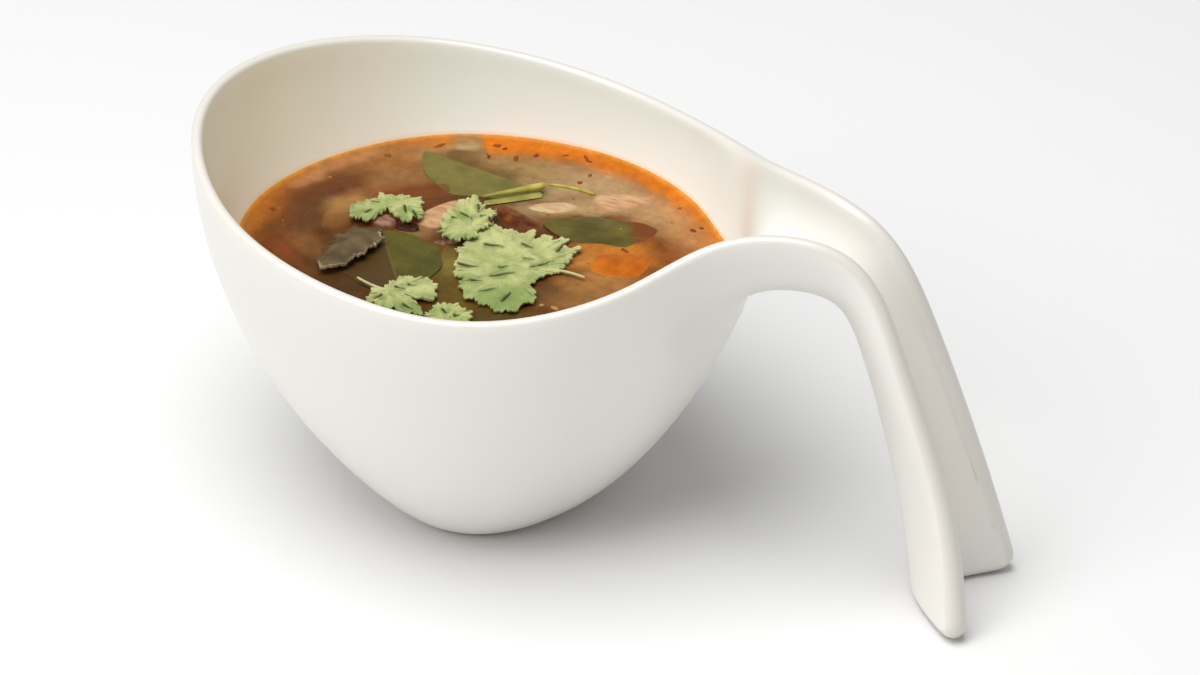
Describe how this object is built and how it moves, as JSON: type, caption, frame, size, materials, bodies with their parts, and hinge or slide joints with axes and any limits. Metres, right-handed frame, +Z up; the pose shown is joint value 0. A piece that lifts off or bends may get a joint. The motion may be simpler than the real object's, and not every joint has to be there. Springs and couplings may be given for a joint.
{
  "type": "soup in a handled cup",
  "caption": "Tom yum soup with cilantro, lime leaves and mushroom in a white porcelain cup whose rim runs on into a looped channel handle that stands on the table.",
  "frame": {"origin": "middle of the cup's foot, on the table", "axes": "+X towards the handle, +Z up; the cup is symmetric about the XZ plane"},
  "size_m": [0.214, 0.1256, 0.1],
  "materials": {
    "porcelain": "glossy",
    "broth": "glossy, oily",
    "cilantro": "wet",
    "lime_leaf": "wet, glossy",
    "leaf_stalk": "wet",
    "dark_mushroom": "wet",
    "mushroom": "wet",
    "chilli": "wet, glossy",
    "shallot": "wet",
    "tomato": "wet, glossy"
  },
  "bodies": {
    "root": {"cup": "porcelain", "soup": "broth", "cilantro_center": "cilantro", "cilantro_upper": "cilantro", "cilantro_left": "cilantro", "cilantro_lower_left": "cilantro", "cilantro_front": "cilantro", "oyster_mushroom": "dark_mushroom", "lime_leaf_back": "lime_leaf", "lime_leaf_front": "lime_leaf", "lime_leaf_right": "lime_leaf", "leaf_stalk": "leaf_stalk", "mushroom_left": "mushroom", "mushroom_center": "mushroom", "mushroom_strip_near": "mushroom", "mushroom_strip_far": "mushroom", "chilli_center": "chilli", "chilli_left": "chilli", "shallot_left": "shallot", "shallot_center": "shallot", "tomato_piece": "tomato"}
  },
  "joints": []
}
